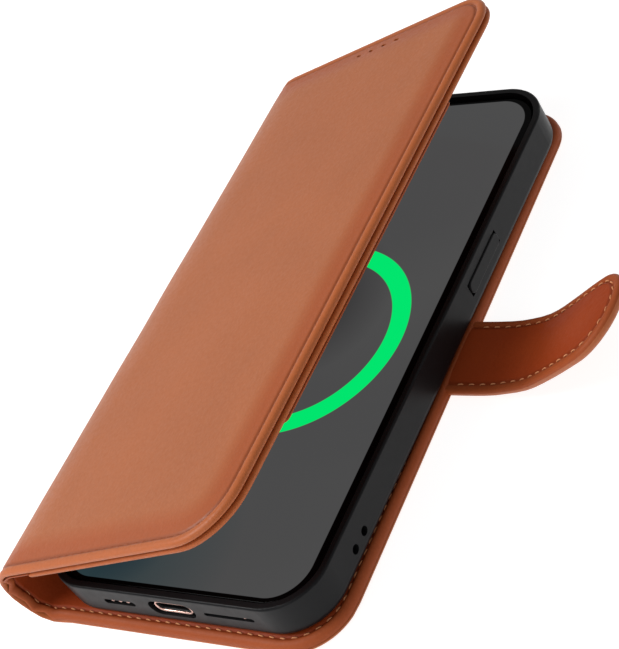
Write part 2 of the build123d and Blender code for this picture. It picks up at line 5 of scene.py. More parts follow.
import bmesh
import bpy
from mathutils import Matrix, Vector, noise

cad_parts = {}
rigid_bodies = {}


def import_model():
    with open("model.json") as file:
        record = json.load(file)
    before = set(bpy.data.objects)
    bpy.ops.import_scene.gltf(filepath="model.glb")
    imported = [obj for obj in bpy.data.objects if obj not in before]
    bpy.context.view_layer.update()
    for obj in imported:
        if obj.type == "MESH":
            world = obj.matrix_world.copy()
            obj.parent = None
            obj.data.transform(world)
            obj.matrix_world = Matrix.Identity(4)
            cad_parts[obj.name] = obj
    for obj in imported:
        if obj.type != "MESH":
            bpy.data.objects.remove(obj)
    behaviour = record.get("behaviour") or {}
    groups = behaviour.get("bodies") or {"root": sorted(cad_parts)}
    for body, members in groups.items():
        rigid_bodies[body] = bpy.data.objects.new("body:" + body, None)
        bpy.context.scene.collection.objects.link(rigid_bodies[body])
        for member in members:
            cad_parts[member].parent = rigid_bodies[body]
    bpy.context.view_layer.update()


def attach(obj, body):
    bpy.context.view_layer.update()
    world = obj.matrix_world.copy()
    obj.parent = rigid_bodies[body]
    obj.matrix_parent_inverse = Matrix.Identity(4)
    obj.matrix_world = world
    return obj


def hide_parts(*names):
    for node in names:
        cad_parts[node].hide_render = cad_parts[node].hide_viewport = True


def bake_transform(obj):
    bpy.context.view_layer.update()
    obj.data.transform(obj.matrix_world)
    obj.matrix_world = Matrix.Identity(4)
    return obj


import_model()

# A folding leather phone wallet case, half open, with the telephone in its soft shell.
# Lengths in this file are millimetres until MM turns them into metres.
MM = 0.001


def srgb(red, green, blue):
    """A display colour, 0 to 255, as the linear colour that shaders take."""
    linear = (((c / 255 + 0.055) / 1.055) ** 2.4 if c > 10 else c / 255 / 12.92 for c in (red, green, blue))
    return tuple(linear) + (1.0,)


def smooth(low, high, x):
    """0 below low, 1 above high and an easy step between."""
    t = min(max((x - low) / (high - low), 0.0), 1.0)
    return t * t * (3 - 2 * t)


# ---------------------------------------------------------------- camera, lights and floor
CAMERA_AT = (0.24696, -0.20739, 0.25820)
CAMERA_RIGHT = (0.79942, 0.39219, -0.45510)
CAMERA_UP = (-0.00707, 0.76361, 0.64564)
CAMERA_BACK = (0.60073, -0.51292, 0.61322)
CAMERA_LENS = 97.10
CAMERA_SHIFT = (-0.0242, 0.0110)
WORLD_STRENGTH = 0.38
KEY_AT = (-0.45, -0.30, 0.70)
KEY_SIZE = 0.45
KEY_POWER = 6.9
FILL_AT = (0.10, -0.75, 0.40)
FILL_SIZE = 0.50
FILL_POWER = 1.1
FLOOR_Z = -0.0004
FLOOR_ALBEDO = 0.42
FLOOR_GLOW = 0.86


def make_camera():
    data = bpy.data.cameras.new("camera")
    data.lens = CAMERA_LENS
    data.shift_x, data.shift_y = CAMERA_SHIFT
    data.clip_start = 0.005
    camera = bpy.data.objects.new("camera", data)
    turn = Matrix((CAMERA_RIGHT, CAMERA_UP, CAMERA_BACK)).transposed().to_4x4()
    camera.matrix_world = Matrix.Translation(CAMERA_AT) @ turn
    bpy.context.collection.objects.link(camera)
    bpy.context.scene.camera = camera


def area_light(name, place, target, size, power):
    data = bpy.data.lights.new(name, "AREA")
    data.shape = "SQUARE"
    data.size = size
    data.energy = power
    light = bpy.data.objects.new(name, data)
    light.location = place
    light.rotation_euler = (Vector(target) - Vector(place)).to_track_quat("-Z", "Y").to_euler()
    bpy.context.collection.objects.link(light)


def make_studio():
    world = bpy.data.worlds.new("studio")
    world.use_nodes = True
    world.node_tree.nodes["Background"].inputs["Color"].default_value = (1.0, 1.0, 1.0, 1.0)
    world.node_tree.nodes["Background"].inputs["Strength"].default_value = WORLD_STRENGTH
    bpy.context.scene.world = world
    bpy.context.scene.view_settings.view_transform = "Standard"
    area_light("key", KEY_AT, (0, 0, 0.01), KEY_SIZE, KEY_POWER)
    area_light("fill", FILL_AT, (0.02, 0, 0.01), FILL_SIZE, FILL_POWER)

    bpy.ops.mesh.primitive_plane_add(size=6.0, location=(0, 0, FLOOR_Z))
    floor = bpy.context.object
    floor.name = "floor"
    material = bpy.data.materials.new("pale_floor")
    material.use_nodes = True
    shader = material.node_tree.nodes["Principled BSDF"]
    shader.inputs["Base Color"].default_value = (FLOOR_ALBEDO,) * 3 + (1.0,)
    shader.inputs["Roughness"].default_value = 0.9
    shader.inputs["Specular IOR Level"].default_value = 0.0
    shader.inputs["Emission Color"].default_value = (1.0, 1.0, 1.0, 1.0)
    shader.inputs["Emission Strength"].default_value = FLOOR_GLOW
    floor.data.materials.append(material)


make_camera()
make_studio()


# ---------------------------------------------------------------- materials
class Shader:
    """A material's node tree, built a node at a time."""

    def __init__(self, name):
        self.material = bpy.data.materials.new(name)
        self.material.use_nodes = True
        self.tree = self.material.node_tree
        self.bsdf = self.tree.nodes["Principled BSDF"]
        self.place = self.add("ShaderNodeTexCoord").outputs["Object"]

    def add(self, kind, inputs=None, **settings):
        node = self.tree.nodes.new(kind)
        for key, value in settings.items():
            setattr(node, key, value)
        for key, value in (inputs or {}).items():
            self.set(node.inputs[key], value)
        return node

    def set(self, socket, value):
        if isinstance(value, bpy.types.NodeSocket):
            self.tree.links.new(value, socket)
        else:
            socket.default_value = value

    def noise(self, scale, detail=3.0, rough=0.55, distortion=0.0):
        fields = {"Vector": self.place, "Scale": scale, "Detail": detail}
        fields |= {"Roughness": rough, "Distortion": distortion}
        return self.add("ShaderNodeTexNoise", fields).outputs["Fac"]

    def pebbles(self, scale, randomness=1.0):
        fields = {"Vector": self.place, "Scale": scale, "Randomness": randomness, "Smoothness": 0.6}
        return self.add("ShaderNodeTexVoronoi", fields, feature="SMOOTH_F1").outputs["Distance"]

    def math(self, operation, a, b=0.0, clamp=False):
        return self.add("ShaderNodeMath", {0: a, 1: b}, operation=operation, use_clamp=clamp).outputs[0]

    def span(self, value, low, high, out_low, out_high):
        fields = {"Value": value, "From Min": low, "From Max": high, "To Min": out_low, "To Max": out_high}
        return self.add("ShaderNodeMapRange", fields).outputs["Result"]

    def ramp(self, value, *stops):
        node = self.add("ShaderNodeValToRGB", {"Fac": value})
        steps = node.color_ramp.elements
        while len(steps) < len(stops):
            steps.new(0.5)
        for step, (position, colour) in zip(steps, stops):
            step.position = position
            step.color = colour
        return node.outputs["Color"]

    def mix(self, factor, a, b, blend="MIX"):
        node = self.add("ShaderNodeMix", data_type="RGBA", blend_type=blend)
        self.set(node.inputs[0], factor)
        self.set(node.inputs[6], a)
        self.set(node.inputs[7], b)
        return node.outputs[2]

    def attribute(self, name):
        return self.add("ShaderNodeAttribute", attribute_name=name).outputs["Fac"]

    def bump(self, height, strength, distance, under=None):
        node = self.add("ShaderNodeBump", {"Height": height, "Strength": strength, "Distance": distance})
        if under is not None:
            self.tree.links.new(under, node.inputs["Normal"])
        return node.outputs["Normal"]

    def surface(self, **fields):
        names = {
            "colour": "Base Color",
            "rough": "Roughness",
            "specular": "Specular IOR Level",
            "metal": "Metallic",
            "normal": "Normal",
            "coat": "Coat Weight",
            "coat_rough": "Coat Roughness",
            "sheen": "Sheen Weight",
            "sheen_rough": "Sheen Roughness",
            "sheen_tint": "Sheen Tint",
            "glow": "Emission Color",
            "glow_strength": "Emission Strength",
        }
        for key, value in fields.items():
            self.set(self.bsdf.inputs[names[key]], value)
        return self.material


RIM_SPAN = 12.0  # the rim attribute runs to this distance from a sheet's edge
MOTTLING = 0.20


def leather(name, middle, seam_band_shade, rim, specular, rough, grain):
    """Smooth dyed leather: pebbled grain, mottling, another colour at the very edge, painted shade in the
    stitched groove and a band of painted shade beside it.
    """
    s = Shader(name)
    edge = s.math("DIVIDE", s.attribute("rim"), RIM_SPAN, clamp=True)
    # painted shade: the colour darkens in the stitched groove and stays deeper in a band beside it
    painted_seam_shade = tuple(0.62 * c for c in seam_band_shade[:3]) + (1.0,)
    base = s.ramp(
        edge,
        (0.0, rim),
        (0.12, rim),
        (0.185, painted_seam_shade),
        (0.25, seam_band_shade),
        (0.42, seam_band_shade),
        (0.80, middle),
    )
    cloudy = s.noise(38.0, 4.0, 0.6, 0.4)
    blotch = s.span(cloudy, 0.35, 0.70, 0.0, MOTTLING)
    darker = s.mix(blotch, base, tuple(0.62 * c for c in middle[:3]) + (1.0,))
    pores = s.pebbles(1500.0)
    fine = s.noise(5200.0, 2.0)
    spotted = s.mix(s.span(pores, 0.25, 0.62, 0.0, 0.10), darker, tuple(0.5 * c for c in middle[:3]) + (1.0,))
    roughness = s.span(s.noise(900.0, 3.0), 0.3, 0.7, rough - 0.05, rough + 0.07)
    creases = s.noise(260.0, 5.0, 0.65, 1.2)
    low_bump = s.bump(creases, 0.22, 0.00025)
    grain_bump = s.bump(pores, grain, 0.00010, low_bump)
    fine_bump = s.bump(fine, grain * 0.6, 0.00004, grain_bump)
    return s.surface(colour=spotted, rough=roughness, specular=specular, normal=fine_bump)


# the deeper seam-side colours below are painted shade beside the stitched seams
TAN = srgb(167, 95, 55)
TAN_SEAM_SHADE = srgb(160, 79, 38)
TAN_RIM = srgb(174, 92, 46)
RUSSET = srgb(154, 62, 23)
RUSSET_SEAM_SHADE = srgb(150, 59, 22)
RUSSET_RIM = srgb(154, 75, 38)
outer_leather = leather("outer_leather", TAN, TAN_SEAM_SHADE, TAN_RIM, 0.30, 0.46, 0.30)
inner_leather = leather("inner_leather", RUSSET, RUSSET_SEAM_SHADE, RUSSET_RIM, 0.16, 0.55, 0.22)
panel_leather = leather("panel_leather", RUSSET, RUSSET_SEAM_SHADE, TAN_RIM, 0.20, 0.50, 0.22)


def thread_material(name, colour):
    s = Shader(name)
    twist = s.add("ShaderNodeTexWave", {"Vector": s.place, "Scale": 1300.0, "Distortion": 1.5}).outputs["Fac"]
    shade = s.mix(twist, colour, tuple(0.72 * c for c in colour[:3]) + (1.0,))
    fluff = s.noise(6000.0, 2.0)
    normal = s.bump(fluff, 0.3, 0.00003, s.bump(twist, 0.4, 0.00006))
    return s.surface(colour=shade, rough=s.span(fluff, 0.3, 0.7, 0.50, 0.65), specular=0.3, normal=normal)


light_thread = thread_material("light_thread", srgb(214, 142, 96))
dark_thread = thread_material("dark_thread", srgb(150, 76, 40))


def moulded(name, colour, rough, specular=0.4, texture=2600.0, strength=0.12, metal=0.0, spread=0.04):
    """Moulded or machined stuff with a faint texture of its own."""
    s = Shader(name)
    speckle = s.noise(texture, 3.0)
    cloudy = s.noise(90.0, 3.0)
    shade = s.mix(s.span(cloudy, 0.3, 0.7, 0.0, 0.35), colour, tuple(0.8 * c for c in colour[:3]) + (1.0,))
    roughness = s.span(s.noise(420.0, 3.0), 0.3, 0.7, rough - spread, rough + spread)
    normal = s.bump(speckle, strength, 0.00004)
    return s.surface(colour=shade, rough=roughness, specular=specular, metal=metal, normal=normal)


soft_shell = moulded("soft_shell", (0.0075, 0.0075, 0.0082, 1.0), 0.36, specular=0.11, strength=0.08)
adhesive = moulded("adhesive", srgb(190, 188, 180), 0.6)
board = moulded("grey_board", srgb(150, 140, 125), 0.9, specular=0.1, texture=1500.0, strength=0.5)
magnet = moulded("magnet", srgb(150, 150, 155), 0.35, metal=1.0)
steel = moulded("steel_plate", srgb(165, 165, 168), 0.4, metal=1.0, strength=0.2)
# near black phone metal: painted shade of the shell's openings, through which the phone's frame shows
phone_metal = moulded("phone_metal", srgb(16, 16, 18), 0.35, metal=1.0)
phone_back = moulded("phone_back", srgb(58, 60, 64), 0.42, specular=0.5, strength=0.05)
socket_metal = moulded("socket_metal", srgb(214, 176, 164), 0.28, metal=1.0, strength=0.08)
socket_plastic = moulded("socket_plastic", srgb(22, 22, 23), 0.5)
lens_glass = moulded("lens_glass", srgb(8, 10, 16), 0.08, specular=0.8, strength=0.0, spread=0.02)
flash_lens = moulded("flash_lens", srgb(235, 228, 205), 0.25, specular=0.6, texture=3500.0, strength=0.5)

# the lit picture on the screen, in the case's own frame
SCREEN_HALF = (33.2, 72.1)
SCREEN_R = 9.0
RING_CENTRE = (0.0, -3.7)
RING_RADII = (23.4, 28.15)
BEZEL = (0.0012, 0.0012, 0.0013, 1.0)


def screen_material():
    """Front glass: a black border round a lit grey picture with a bright green ring."""
    s = Shader("screen_glass")
    split = s.add("ShaderNodeSeparateXYZ", {"Vector": s.place})
    x, y = (s.math("MULTIPLY", split.outputs[axis], 1 / MM) for axis in ("X", "Y"))

    def far(a, b):
        return s.math("SQRT", s.math("ADD", s.math("POWER", a, 2.0), s.math("POWER", b, 2.0)))

    def away(value, half):
        return s.math("MAXIMUM", s.math("SUBTRACT", s.math("ABSOLUTE", value), half), 0.0)

    corner = far(away(x, SCREEN_HALF[0] - SCREEN_R), away(y, SCREEN_HALF[1] - SCREEN_R))
    lit = s.span(corner, SCREEN_R - 0.06, SCREEN_R + 0.06, 1.0, 0.0)

    from_ring = far(s.math("SUBTRACT", x, RING_CENTRE[0]), s.math("SUBTRACT", y, RING_CENTRE[1]))
    ring_middle = (RING_RADII[0] + RING_RADII[1]) / 2
    ring_half = (RING_RADII[1] - RING_RADII[0]) / 2
    off_ring = s.math("ABSOLUTE", s.math("SUBTRACT", from_ring, ring_middle))
    ring = s.span(off_ring, ring_half - 0.12, ring_half + 0.12, 1.0, 0.0)

    def spot(cx, cy, radius, soft):
        reach = far(s.math("SUBTRACT", x, cx), s.math("SUBTRACT", y, cy))
        return s.span(reach, radius, radius + soft, 1.0, 0.0)

    blur = s.noise(22.0, 1.0)
    grey = s.mix(s.span(blur, 0.35, 0.65, 0.0, 0.25), srgb(77, 77, 77), srgb(64, 64, 66))
    teal = s.mix(spot(-27.0, -67.0, 6.0, 34.0), grey, srgb(42, 60, 64))
    deep = s.mix(spot(-20.0, -60.0, 1.0, 14.0), teal, srgb(30, 46, 56))
    # painted shade: a dark patch left of the ring, where the open cover overhangs the screen
    shade = s.mix(spot(-4.0, 6.0, 4.0, 20.0), deep, srgb(44, 42, 44))
    picture = s.mix(ring, shade, srgb(0, 229, 110))
    glow = s.mix(lit, (0.0, 0.0, 0.0, 1.0), picture)
    smear = s.span(s.noise(160.0, 3.0), 0.3, 0.7, 0.10, 0.16)
    normal = s.bump(s.noise(30.0, 1.0), 0.02, 0.0005)
    return s.surface(colour=BEZEL, rough=smear, specular=0.03, glow=glow, glow_strength=1.0, normal=normal)


screen_glass = screen_material()
CAD_FINISHES = {
    soft_shell: ("phone_shell", "power_button_pad", "volume_up_button_pad", "volume_down_button_pad"),
    adhesive: ("shell_adhesive",),
    board: ("back_board", "front_board"),
    magnet: ("magnet_ring", "clasp_magnets"),
    steel: ("clasp_keeper",),
    phone_metal: (
        "phone_frame",
        "phone_power_button",
        "phone_volume_up_button",
        "phone_volume_down_button",
        "camera_lens_rings",
    ),
    phone_back: ("phone_back_glass", "camera_plate"),
    screen_glass: ("phone_front_glass", "phone_display"),
    lens_glass: ("camera_lens_glasses",),
    flash_lens: ("camera_flash",),
    socket_plastic: ("charging_socket", "charging_socket_tongue"),
}
for finish, nodes in CAD_FINISHES.items():
    for node_name in nodes:
        for piece in bpy.data.objects:
            if piece.type == "MESH" and piece.name == node_name:
                for place in piece.material_slots:
                    place.material = finish


# ---------------------------------------------------------------- lines that the sheets follow
class Path:
    """A smooth line in the XZ plane, followed by its length; it runs on straight past its ends."""

    STEPS = 24

    def __init__(self, points):
        ends = [points[0]] + list(points) + [points[-1]]
        self.points = []
        for a, b, c, d in zip(ends, ends[1:], ends[2:], ends[3:]):
            self.points += [self.between(a, b, c, d, i / self.STEPS) for i in range(self.STEPS)]
        self.points.append(Vector(points[-1]))
        self.lengths = [0.0]
        for a, b in zip(self.points, self.points[1:]):
            self.lengths.append(self.lengths[-1] + (b - a).length)
        self.length = self.lengths[-1]

    @staticmethod
    def between(a, b, c, d, t):
        """A cardinal curve from b to c whose slopes don't overshoot uneven runs."""
        a, b, c, d = (Vector(p) for p in (a, b, c, d))
        run = (c - b).length
        in_slope = (c - a).normalized() * run
        out_slope = (d - b).normalized() * run
        t2, t3 = t * t, t * t * t
        ends = b * (2 * t3 - 3 * t2 + 1) + c * (3 * t2 - 2 * t3)
        return ends + in_slope * (t3 - 2 * t2 + t) + out_slope * (t3 - t2)

    def at(self, s):
        """The point and the outward normal at length s."""
        inside = min(max(s, 0.0), self.length)
        i = min(max(bisect.bisect_right(self.lengths, inside) - 1, 0), len(self.points) - 2)
        reach = self.lengths[i + 1] - self.lengths[i]
        t = (inside - self.lengths[i]) / reach
        tangent = (self.slope(i) * (1 - t) + self.slope(i + 1) * t).normalized()
        point = self.points[i].lerp(self.points[i + 1], t) + tangent * (s - inside)
        return point, Vector((-tangent.y, tangent.x))

    def slope(self, i):
        low, high = max(i - 1, 0), min(i + 1, len(self.points) - 1)
        return (self.points[high] - self.points[low]).normalized()

    def nearest(self, x, z):
        """The length along the line at its point nearest to x, z."""
        target = Vector((x, z))
        return min(zip((((p - target).length) for p in self.points), self.lengths))[1]


COVER_TILT = math.radians(16.26)
COVER_FOLD = Vector((-40.47, 20.84))
LEATHER_T = 1.8
along_cover = Vector((math.cos(COVER_TILT), math.sin(COVER_TILT)))
out_of_cover = Vector((-along_cover.y, along_cover.x))


def cover_point(w, depth):
    """A point of the front cover, w from its fold and depth below its outer face."""
    return tuple(COVER_FOLD + along_cover * w - out_of_cover * depth)


BACK_EDGE_X = 39.1
BACK_Z = 1.2
WRAP = Path(
    [(BACK_EDGE_X, BACK_Z), (20, BACK_Z), (0, BACK_Z), (-20, BACK_Z), (-34, BACK_Z)]
    + [(-38.4, 1.2), (-40.6, 2.0), (-42.7, 5.2), (-44.7, 10.2), (-44.2, 14.4), (-42.5, 17.4), (-39.8, 19.1)]
    + [cover_point(w, LEATHER_T) for w in (4.5, 14, 30, 50, 70, 76.8)]
)
COVER_START = WRAP.nearest(*cover_point(4.5, LEATHER_T)) - 4.5
COVER_W = 76.8
SPINE_LOW = WRAP.nearest(-40.4, 1.7)
SPINE_MIDDLE = WRAP.nearest(-44.7, 10.2)
SPINE_HIGH = WRAP.nearest(-40.2, 18.9)

COVER_LOW_R = 13.5
COVER_HIGH_R = 11.0
BACK_Y = (-78.9, 78.5)
BACK_LOW_R = 14.0
BACK_HIGH_R = 11.0
COVER_Y = (-79.0, 78.8)
STRAP_Y = 0.4
STRAP_W = 20.4
STRAP = Path(
    [(32, 1.72), (38, 1.72), (42.9, 1.72), (46.8, 1.85), (50.5, 2.3)]
    + [(57.7, 4.2), (65.5, 8.7), (73.3, 13.9), (82.8, 20.2)]
)


# the leather lies a little askew on the shell, and its cut edges are not quite square
BACK_SKEW = 2.6
BACK_LIFT = 1.0
COVER_LIFT = 1.8
SKEW_REACH = 60.0


def askew(u, v):
    """Where a point of the square pattern lies on the real, slightly uneven leather."""
    up_share = (v - BACK_Y[0]) / (BACK_Y[1] - BACK_Y[0])
    low_share = max(0.0, v / BACK_Y[0])
    on_back = 1 - smooth(SPINE_LOW - 6, SPINE_LOW + 4, u)
    on_cover = min(max((u - COVER_START) / COVER_W, 0.0), 1.0)
    shifted_u = u + BACK_SKEW * up_share * max(0.0, 1 - u / SKEW_REACH)
    return shifted_u, v + (BACK_LIFT * on_back + COVER_LIFT * on_cover) * low_share


def on_wrap(u, v, offset):
    u, v = askew(u, v)
    point, normal = WRAP.at(u)
    point = point + normal * offset
    return Vector((point.x, v, point.y)) * MM


STRAP_SPREAD = 0.10
STRAP_DROOP = 0.5


def on_strap(u, v, offset):
    """The strap's loose end is a little wider, and its root sits a little low."""
    along = u / STRAP.length
    v = v + STRAP_SPREAD * smooth(0.35, 0.8, along) * (v - STRAP_Y) - STRAP_DROOP * (1 - along)
    point, normal = STRAP.at(u)
    point = point + normal * offset
    return Vector((point.x, v, point.y)) * MM


# ---------------------------------------------------------------- sheets
EDGE_STEPS = (0, 0.05, 0.16, 0.32, 0.55, 0.85, 1.2, 1.55, 1.8, 2.0)
EDGE_STEPS += (2.2, 2.4, 2.6, 2.85, 3.3, 4.0, 5.0, 6.2, 7.6, 9.2, 11.0)


def stations(low, high, free_low, free_high, step=2.6):
    """Places across a sheet, close together by its free edges."""
    steps = [s for s in EDGE_STEPS if s < 0.45 * (high - low)]
    first = [low + s for s in steps] if free_low else [low]
    last = [high - s for s in reversed(steps)] if free_high else [high]
    count = max(1, round((last[0] - first[-1]) / step))
    inner = [first[-1] + (last[0] - first[-1]) * i / count for i in range(1, count)]
    return first + inner + last


def sheet(name, place, u, v, free, radii, top, bottom, material, slot):
    """A closed sheet of leather. free tells which of the low-u, high-u, low-v and high-v sides are
    real edges. radii are the corner radii at low u, then at high u, each for low v and high v. top
    and bottom give each face's height at a distance from the nearest edge."""
    us = stations(u[0], u[1], free[0], free[1])
    vs = stations(v[0], v[1], free[2], free[3], 3.4)
    net = bmesh.new()
    rim = net.verts.layers.float.new("rim")
    layers = []
    for face in (top, bottom):
        rows = []
        for a in us:
            row = []
            for b in vs:
                flat_u, flat_v, d = round_corner(a, b, u, v, free, radii)
                vert = net.verts.new(place(flat_u, flat_v, face(d, flat_u, flat_v)))
                vert[rim] = d
                row.append(vert)
            rows.append(row)
        layers.append(rows)
    upper, lower = layers
    for i in range(len(us) - 1):
        for j in range(len(vs) - 1):
            net.faces.new((upper[i][j], upper[i + 1][j], upper[i + 1][j + 1], upper[i][j + 1]))
            net.faces.new((lower[i][j], lower[i][j + 1], lower[i + 1][j + 1], lower[i + 1][j]))
    last_u, last_v = len(us) - 1, len(vs) - 1
    for i in range(last_u):
        wall(net, upper, lower, (i, 0), (i + 1, 0), free[2])
        wall(net, upper, lower, (i, last_v), (i + 1, last_v), free[3])
    for j in range(last_v):
        wall(net, upper, lower, (0, j), (0, j + 1), free[0])
        wall(net, upper, lower, (last_u, j), (last_u, j + 1), free[1])
    return finish_mesh(name, net, material, slot)


def wall(net, upper, lower, a, b, free):
    """One face of the wall that joins a sheet's two faces; a cut side keeps a hard corner."""
    face = net.faces.new((upper[a[0]][a[1]], upper[b[0]][b[1]], lower[b[0]][b[1]], lower[a[0]][a[1]]))
    if not free:
        for edge in face.edges:
            edge.smooth = False


def round_corner(a, b, u, v, free, radii):
    """Moves a grid point of a square corner onto a round one; also its distance from the edge."""
    gaps = []
    for at, (low, high), (free_low, free_high) in ((a, u, free[:2]), (b, v, free[2:])):
        choices = [(RIM_SPAN + 1, 0, at)]
        if free_low:
            choices.append((at - low, -1, low))
        if free_high:
            choices.append((high - at, 1, high))
        gaps.append(min(choices))
    (gap_u, side_u, edge_u), (gap_v, side_v, edge_v) = gaps
    radius = radii[2 * (side_u > 0) + (side_v > 0)]
    if side_u and side_v and gap_u < radius and gap_v < radius:
        p, q = radius - gap_u, radius - gap_v
        squeeze = max(p, q) / math.hypot(p, q) if p or q else 1.0
        a = edge_u - side_u * (radius - p * squeeze)
        b = edge_v - side_v * (radius - q * squeeze)
    return a, b, min(gap_u, gap_v, RIM_SPAN)


def finish_mesh(name, net, material, slot):
    bmesh.ops.recalc_face_normals(net, faces=net.faces)
    for face in net.faces:
        face.smooth = True
    mesh = bpy.data.meshes.new(name)
    net.to_mesh(mesh)
    net.free()
    mesh.materials.append(material)
    piece = bpy.data.objects.new(name, mesh)
    bpy.context.collection.objects.link(piece)
    return piece


def round_over(d, depth, radius):
    """How far a rounded edge falls below the face at a distance d from the edge."""
    if d >= radius:
        return 0.0
    return depth * (1 - math.sqrt(max(1 - ((radius - d) / radius) ** 2, 0.0)))


def groove(d, inset, depth, half=0.34):
    return depth * math.exp(-(((d - inset) / half) ** 2))


def waves(u, v, scale, height, seed=0.0):
    """Gentle unevenness of soft leather."""
    return height * noise.noise(Vector((u / scale, v / scale, seed)))


# ---------------------------------------------------------------- outer leather of both covers and spine
SEAM = 2.2
BACK_SEAM = 2.4


def outer_thickness(u):
    on_spine = 1.2 - 0.15 * smooth(SPINE_LOW - 4, SPINE_MIDDLE, u)
    return on_spine + (LEATHER_T - 1.05) * smooth(SPINE_MIDDLE, SPINE_HIGH + 4, u)


def outer_top(d, u, v):
    """Outer face: round edge, stitched groove and a soft padded middle."""
    thick = outer_thickness(u)
    on_front = smooth(SPINE_HIGH, SPINE_HIGH + 8, u)
    pad = (0.55 * on_front) * smooth(SEAM + 0.1, 9.5, d)
    seam = groove(d, SEAM, 0.34)
    return thick - round_over(d, thick * 0.56, 1.1) - seam + pad + waves(u, v, 17.0, 0.10) * smooth(3, 9, d)


def outer_bottom(d, u, v):
    return round_over(d, outer_thickness(u) * 0.40, 1.6) - 0.02


back_leather_skin = sheet(
    "back_leather_skin",
    on_wrap,
    (0.0, SPINE_MIDDLE),
    BACK_Y,
    (True, False, True, True),
    (BACK_LOW_R, BACK_HIGH_R, 0, 0),
    outer_top,
    outer_bottom,
    outer_leather,
    "leather_outer",
)


def cover_v(u, v):
    """The front cover is a hair longer than the back: the leather widens over the spine."""
    share = smooth(SPINE_MIDDLE, SPINE_HIGH, u)
    back_middle, back_half = sum(BACK_Y) / 2, (BACK_Y[1] - BACK_Y[0]) / 2
    cover_middle, cover_half = sum(COVER_Y) / 2, (COVER_Y[1] - COVER_Y[0]) / 2
    across = (v - back_middle) / back_half
    middle = back_middle + (cover_middle - back_middle) * share
    return middle + across * (back_half + (cover_half - back_half) * share)


def on_cover_side(u, v, offset):
    return on_wrap(u, cover_v(u, v), offset)


front_leather_skin = sheet(
    "front_leather_skin",
    on_cover_side,
    (SPINE_MIDDLE, COVER_START + COVER_W),
    BACK_Y,
    (False, True, True, True),
    (0, 0, COVER_LOW_R, COVER_HIGH_R),
    outer_top,
    outer_bottom,
    outer_leather,
    "leather_outer",
)


# ---------------------------------------------------------------- lining
def lining_thickness(u):
    return 1.8 - 0.95 * smooth(SPINE_LOW - 1.5, SPINE_LOW + 2.5, u)


def lining_top(d, u, v):
    """Lining face, on the inner side: the edge rolls over towards the outer leather."""
    thick = lining_thickness(u)
    fall = round_over(d, thick - 0.05, 1.5)
    return -(thick - fall - groove(d, BACK_SEAM, 0.34, 0.30) + waves(u, v, 13.0, 0.08, 5.0) * smooth(3, 9, d))


def lining_bottom(d, u, v):
    return 0.0


RIPPLE_LENGTH = 6.4
RIPPLE_HEIGHT = 0.75
RIPPLE_DEPTH = 4.5


def on_lining_side(u, v, offset):
    """The lining is a little too long round the inside of the spine, so its ends ripple there."""
    near_end = smooth(RIPPLE_DEPTH, 0.0, min(v - BACK_Y[0], BACK_Y[1] - v))
    on_spine = smooth(SPINE_LOW - 5, SPINE_LOW, u) * smooth(SPINE_HIGH + 2, SPINE_HIGH - 3, u)
    swing = math.sin(2 * math.pi * (u - SPINE_LOW) / RIPPLE_LENGTH)
    share = near_end * on_spine
    drawn_in = math.copysign(0.45 * share * (1 + swing), -v)
    return on_cover_side(u, v + drawn_in, offset - RIPPLE_HEIGHT * share * (0.5 + 0.5 * swing))


back_lining_skin = sheet(
    "back_lining_skin",
    on_lining_side,
    (0.05, SPINE_MIDDLE),
    (BACK_Y[0] + 0.05, BACK_Y[1] - 0.05),
    (True, False, True, True),
    (BACK_LOW_R, BACK_HIGH_R, 0, 0),
    lining_top,
    lining_bottom,
    inner_leather,
    "leather_inner",
)
LINING_END_W = 9.0
spine_lining_upper = sheet(
    "spine_lining_upper",
    on_lining_side,
    (SPINE_MIDDLE, COVER_START + LINING_END_W),
    (BACK_Y[0] + 0.05, BACK_Y[1] - 0.05),
    (False, True, True, True),
    (0, 0, 0.6, 0.6),
    lining_top,
    lining_bottom,
    inner_leather,
    "leather_inner",
)

# ---------------------------------------------------------------- front panel and card pockets
PANEL_W0 = 7.8
PANEL_T = 1.6


def panel_top(d, u, v):
    return -(PANEL_T - round_over(d, PANEL_T * 0.5, 0.8) - groove(d, SEAM, 0.25))


def panel_bottom(d, u, v):
    return -round_over(d, PANEL_T * 0.46, 1.6) - 0.02


front_panel = sheet(
    "front_panel",
    on_cover_side,
    (COVER_START + PANEL_W0, COVER_START + COVER_W - 0.1),
    (BACK_Y[0] + 0.1, BACK_Y[1] - 0.1),
    (True, True, True, True),
    (1.2, 1.2, COVER_LOW_R, COVER_HIGH_R),
    panel_top,
    panel_bottom,
    panel_leather,
    "leather_inner",
)

POCKET_MOUTHS = (18.8, 27.8, 36.8)
POCKET_END_W = 73.8
POCKET_HALF = 46.5
POCKET_T = 0.7
pockets = []
for level, mouth in enumerate(POCKET_MOUTHS):
    floor_depth = PANEL_T + level * POCKET_T

    def pocket_top(d, u, v, depth=floor_depth):
        return -(depth + POCKET_T - round_over(d, POCKET_T * 0.5, 0.35) - groove(d, 1.6, 0.10, 0.25))

    def pocket_bottom(d, u, v, depth=floor_depth):
        return -(depth + 0.03 + round_over(d, POCKET_T * 0.3, 0.3))

    pockets.append(
        sheet(
            f"card_pocket_leather_{level + 1}",
            on_wrap,
            (COVER_START + mouth, COVER_START + POCKET_END_W),
            (-POCKET_HALF, POCKET_HALF),
            (True, True, True, True),
            (1.5, 1.5, 1.5, 1.5),
            pocket_top,
            pocket_bottom,
            inner_leather,
            "leather_inner",
        )
    )

